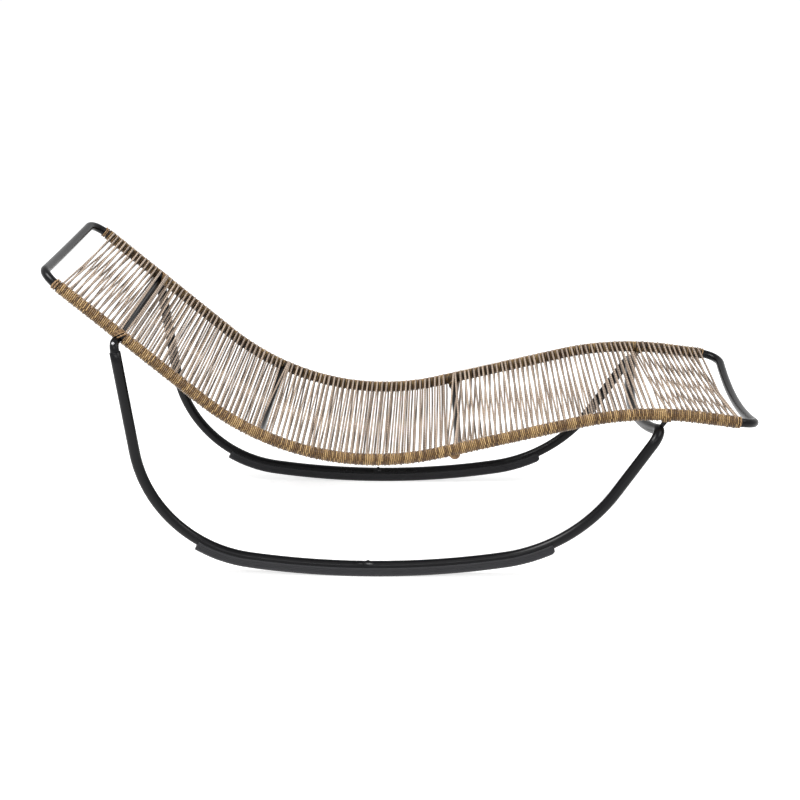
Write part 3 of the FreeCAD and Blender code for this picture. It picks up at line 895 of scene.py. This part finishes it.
def runnerProfile():
    # The channel's outline, turned so that it faces outwards: lips, grooved flanks with
    # chamfered feet, and a cradle round the lower half of the tube.
    side, lip, chamfer = runner["side"], runner["lip"], runner["chamfer"]
    mouth, floor, groove = runner["grooveMouth"], runner["grooveFloor"], runner["groove"]
    low = -(base["tube"] + base["runnerDepth"])
    flank = [(side, lip)]
    for middle in runner["grooves"]:
        for off, cut in ((mouth, 0), (floor, groove), (-floor, groove), (-mouth, 0)):
            flank.append((side - cut, middle + off))
    flank += [(side, low + chamfer), (side - chamfer, low)]
    across = np.linspace(runner["treadHalf"], -runner["treadHalf"], runner["treadSteps"])
    sole = [(x, low + (runner["tread"] if i % 2 else 0)) for i, x in enumerate(across)]
    other = [(-x, z) for x, z in reversed(flank)]
    bend = np.linspace(math.pi, 2 * math.pi, runner["cradleSteps"])
    seatRadius = base["tube"] + runner["cradleGap"]
    cradle = [
        (-seatRadius, lip), *zip(seatRadius * np.cos(bend), seatRadius * np.sin(bend)),
        (seatRadius, lip),
    ]
    return np.array((flank + sole + other + cradle)[::-1])


def runnerGrid():
    # The profile carried along the base. At the foot end its sole rises in a quarter round,
    # z = low + nose*(1 - sqrt(1 - t^2)), with t going from 0 to 1 over the nose.
    outline = runnerProfile()
    runFrom, runTo = slopeAt(runner["headSlope"]), slopeAt(runner["footSlope"])
    nose = runner["nose"]
    rounding = np.sin(np.linspace(0, math.pi / 2, runner["noseSteps"]))
    at = stations(rockerRoute, runFrom, runTo)
    at = np.concatenate([at[at < runTo - nose], runTo - nose * (1 - rounding)])
    at = np.unique(at)
    inNose = np.clip((at - (runTo - nose)) / nose, 0, 1)
    lowest = outline[:, 1].min() + nose * (1 - np.sqrt(1 - inNose**2))
    height = np.maximum(outline[None, :, 1], lowest[:, None])
    return profileSkin(rockerRoute, at[:, None], outline[None, :, 0], height)


pair("runner", runnerGrid(), runnerPlastic, "runner")
print("runners fitted")

# Places are off the gap's two edges, sink is how far each cord begins inside the winding, and
# the angles, in radians, go round the rail.
crossing = {
    "places": (-0.0062, -0.0020, 0.0022, 0.0098), "from": -1.5, "to": 4.2, "points": 34,
    "sink": 0.003, "lift": 0.0022, "guide": (0.31, 0.53, 0.79),
}


def crossingCords():
    # The cord steps over the bare rail at the head crossbar: each turn climbs the gap as it
    # goes round, s = s0 + gap*smoothstep(t), while the angle runs evenly.
    places = np.array(crossing["places"])[:, None]
    t = np.linspace(0, 1, crossing["points"])
    start = woundTo - crossing["sink"] + places
    end = woundFrom + crossing["sink"] + places
    at = start + (end - start) * (t * t * (3 - 2 * t))
    angle = crossing["from"] + (crossing["to"] - crossing["from"]) * t
    centre = skin(railRoute, at, angle, seat["tube"] + crossing["lift"])
    steps = np.linalg.norm(np.diff(centre, axis=1), axis=-1)
    travelled = np.pad(np.cumsum(steps, axis=1), ((0, 0), (1, 0)))
    grid = cordSkin(centre, crossing["guide"], cord["across"] / 2, cord["sides"])
    return grid, travelled + np.arange(places.size)[:, None]


crossGrid, crossMap = crossingCords()
pair("jointCord", crossGrid, looseCord, "rail_winding", uv=crossMap)

# Two turns at the head and one at the foot lie apart from the rest. Their places are off the
# winding's ends, and sit is how much of half a cord they stand off the tube.
endTurn = {"head": (-0.0098, -0.0043), "foot": (0.0040,), "tilt": 0.0006, "sit": 0.9, "rows": 32}


def endTurns():
    # Rings of cord round the tube, s = s0 + tilt*sin(a), whose section is a circle.
    headEndAt = lengthOf(headLegs)
    footEndAt = headEndAt + railTo - railFrom
    places = [headEndAt + off for off in endTurn["head"]]
    places += [footEndAt + off for off in endTurn["foot"]]
    angle = ringAngles(endTurn["rows"])
    section = ringAngles(cord["sides"])
    half = cord["across"] / 2
    at = np.array(places)[:, None, None] + endTurn["tilt"] * np.sin(angle)[:, None]
    at = at - half * np.cos(section)
    radius = seat["tube"] + half * endTurn["sit"] + half * np.sin(section)
    mapped = angle * (seat["tube"] + half) + np.arange(len(places))[:, None]
    return skin(frameRoute, at, angle[:, None], radius), mapped


endGrid, endMap = endTurns()
pair("endTurn", endGrid, looseCord, "rail_winding", uv=endMap, ring=True)

# Beside each foot post the cord goes round twice, so a short bulge hangs under the rail.
bulge = {"from": 0.006, "to": 0.0280, "down": 0.0040, "over": 0.0005}
bulgeFrom, bulgeTo = footBarAt + bulge["from"], footBarAt + bulge["to"]
bulgeGrid, bulgeTurns = woundCord(railRoute, bulgeFrom, bulgeTo, seat["tube"] + bulge["over"])
bulgeGrid = bulgeGrid - onRail(bulgeFrom, 0)[2] * bulge["down"]
pair("postBulge", bulgeGrid, windingCord, "rail_winding", uv=bulgeTurns, helix=helix)

# The knots round the centre stretcher's ends, and the pad of cord drawn over each end, which
# stands padCords of a cord off the bar.
knot = {
    "start": 0.0042, "length": 0.0205, "pad": 0.0056, "padCords": 0.85, "padSides": 24,
    "padRings": (0.04, 0.3, 0.55, 0.75, 0.9, 0.98, 1.0),
}
knotRoute = stretcherRoute("centre")
knotTo = knot["start"] + knot["length"]
knotGrid, knotTurns = woundCord(knotRoute, knot["start"], knotTo, stretcher["tube"])
pair(
    "centreKnot", knotGrid, windingCord, "centre_knots", shared=True, uv=knotTurns, helix=helix
)


def knotPad():
    # A dome over the stretcher's end: s = start - pad*sqrt(1 - share^2), r = outer*share.
    share = np.array(knot["padRings"])[:, None]
    at = knot["start"] - knot["pad"] * np.sqrt(1 - share**2)
    outer = stretcher["tube"] + cord["across"] * knot["padCords"]
    return skin(knotRoute, at, ringAngles(knot["padSides"]), outer * share), at[:, 0]


padGrid, padMap = knotPad()
pair("knotPad", padGrid, looseCord, "centre_knots", shared=True, uv=padMap)
print("cord details laid")

# Rings, shank and slotReach are shares of the radius, and rim is a share of the dome's height.
screw = {
    "radius": 0.004, "dome": 0.0026, "rim": 0.25, "depth": 0.004, "shank": 0.5, "sides": 32,
    "rings": (0.02, 0.12, 0.22, 0.34, 0.46, 0.6, 0.75, 0.88, 0.97),
    "cross": 0.0007, "slot": 0.0005, "slotReach": 0.62,
}


def panHead(seatPoint, outward):
    # A domed head turned about its axis, z = dome*sqrt(1 - r^2) over a straight rim, with a
    # cross recess pressed in where either |x| or |y| is small, and a short shank below.
    across = unit(np.cross(outward, leftward))
    upward = np.cross(outward, across)
    share = np.concatenate([screw["rings"], [1.0, 1.0, screw["shank"], screw["shank"]]])
    angle = ringAngles(screw["sides"])
    r = share[:, None] * screw["radius"]
    rim = screw["dome"] * screw["rim"]
    rise = (screw["dome"] - rim) * np.sqrt(np.clip(1 - share**2, 0, 1)) + rim
    rise[-4:] = (rim, 0.0, 0.0, -screw["depth"])
    x, y = r * np.cos(angle), r * np.sin(angle)
    inSlot = np.minimum(np.abs(x), np.abs(y)) < screw["slot"]
    inCross = inSlot & (r < screw["radius"] * screw["slotReach"])
    z = rise[:, None] - screw["cross"] * inCross
    grid = seatPoint + x[..., None] * across + y[..., None] * upward + z[..., None] * outward
    return grid[:, ::-1]


skyward = np.array([0.0, 0.0, 1.0])
touchPoint = bentPath(rockerRoute, touchAt)[0]
baseHead = panHead(touchPoint + skyward * base["tube"], skyward)
elbowPoint = bentPath(headBarRoute, headBar["spigot"] + elbowRadius * math.pi / 4)[0]
elbowOut = unit(leftward - legDown)
elbowHead = panHead(elbowPoint + elbowOut * seat["tube"], elbowOut)
pair("baseScrew", baseHead, blackPaint, "base_screws", shared=True)
pair("elbowScrew", elbowHead, screwSteel, "elbow_screws", shared=True)
for nodeName in ("joint_sleeves", "foot_post_left", "foot_post_right"):
    for materialSlot in nodes[nodeName].material_slots:
        materialSlot.material = blackPaint["material"]
print("screws driven")

stage = {
    "floorHalf": 30.0, "floorColour": (0.86, 0.86, 0.86, 1), "floorRough": 0.9,
    "floorGlow": 0.72, "worldLight": 0.36, "wallTop": 0.25, "ceiling": 0.50,
}


def seenDirectly(tree):
    # 1 for camera, mirror and glass rays, and 0 for the rays that light the object.
    seen = put(tree, "ShaderNodeLightPath").outputs
    direct = maths(tree, "MAXIMUM", seen["Is Camera Ray"], seen["Is Glossy Ray"])
    return maths(tree, "MAXIMUM", direct, seen["Is Transmission Ray"])


floorMesh = bpy.data.meshes.new("floor")
half = stage["floorHalf"]
corners = [(-half, -half, 0), (half, -half, 0), (half, half, 0), (-half, half, 0)]
floorMesh.from_pydata(corners, [], [(0, 1, 2, 3)])
floor = bpy.data.objects.new("floor", floorMesh)
bpy.context.scene.collection.objects.link(floor)
floorMaterial, tree, floorSkin = blankMaterial("paleFloor")
floorSkin.inputs["Base Color"].default_value = stage["floorColour"]
floorSkin.inputs["Roughness"].default_value = stage["floorRough"]
floorSkin.inputs["Specular IOR Level"].default_value = 0.0
floorSkin.inputs["Emission Color"].default_value = (1, 1, 1, 1)
glow = maths(tree, "MULTIPLY", seenDirectly(tree), stage["floorGlow"])
tree.links.new(glow, floorSkin.inputs["Emission Strength"])
floorMesh.materials.append(floorMaterial)

# The pale backdrop is white to the camera and in reflections, and darkens to the ceiling.
world = bpy.data.worlds.new("studio")
bpy.context.scene.world = world
world.use_nodes = True
tree = world.node_tree
background = tree.nodes["Background"]
background.inputs["Color"].default_value = (1, 1, 1, 1)
way = put(tree, "ShaderNodeTexCoord").outputs["Generated"]
upward = put(tree, "ShaderNodeSeparateXYZ", {"Vector": way}).outputs[2]
backdrop = put(tree, "ShaderNodeMapRange", {
    "Value": upward, "From Min": stage["wallTop"], "From Max": 1.0, "To Min": 1.0,
    "To Max": stage["ceiling"],
}).outputs[0]
shown = maths(tree, "SUBTRACT", backdrop, stage["worldLight"])
strength = maths(tree, "MULTIPLY_ADD", seenDirectly(tree), shown, stage["worldLight"])
tree.links.new(strength, background.inputs["Strength"])

softBoxes = {
    "keyLight": {
        "place": (-1.8, -1.1, 3.6), "aim": (0, 0, 0.3), "size": (2.0, 1.4), "power": 165.0,
    },
    "fillLight": {
        "place": (2.4, -0.9, 2.8), "aim": (0, 0, 0.3), "size": (1.6, 1.2), "power": 30.0,
    },
    "stripLight": {
        "place": (0.1, -3.0, 2.3), "aim": (0, -0.3, 0.05), "size": (3.2, 0.35), "power": 28.0,
    },
}
for name, softBox in softBoxes.items():
    lamp = bpy.data.lights.new(name, "AREA")
    lamp.shape = "RECTANGLE"
    lamp.size, lamp.size_y = softBox["size"]
    lamp.energy = softBox["power"]
    box = bpy.data.objects.new(name, lamp)
    bpy.context.scene.collection.objects.link(box)
    box.location = softBox["place"]
    beam = Vector(softBox["aim"]) - Vector(softBox["place"])
    box.rotation_euler = beam.to_track_quat("-Z", "Y").to_euler()

view = {
    "place": (0.17093, -4.05524, 1.63674), "pitch": 17.65, "yaw": 1.418, "lens": 73.8,
    "sensor": 36.0, "farthest": 200.0,
}
lens = bpy.data.cameras.new("camera")
lens.lens = view["lens"]
lens.sensor_width = view["sensor"]
lens.clip_end = view["farthest"]
camera = bpy.data.objects.new("camera", lens)
bpy.context.scene.collection.objects.link(camera)
camera.location = view["place"]
camera.rotation_euler = (math.radians(90 - view["pitch"]), 0, math.radians(view["yaw"]))
bpy.context.scene.camera = camera
bpy.context.scene.view_settings.view_transform = "Standard"

print("scene ready")
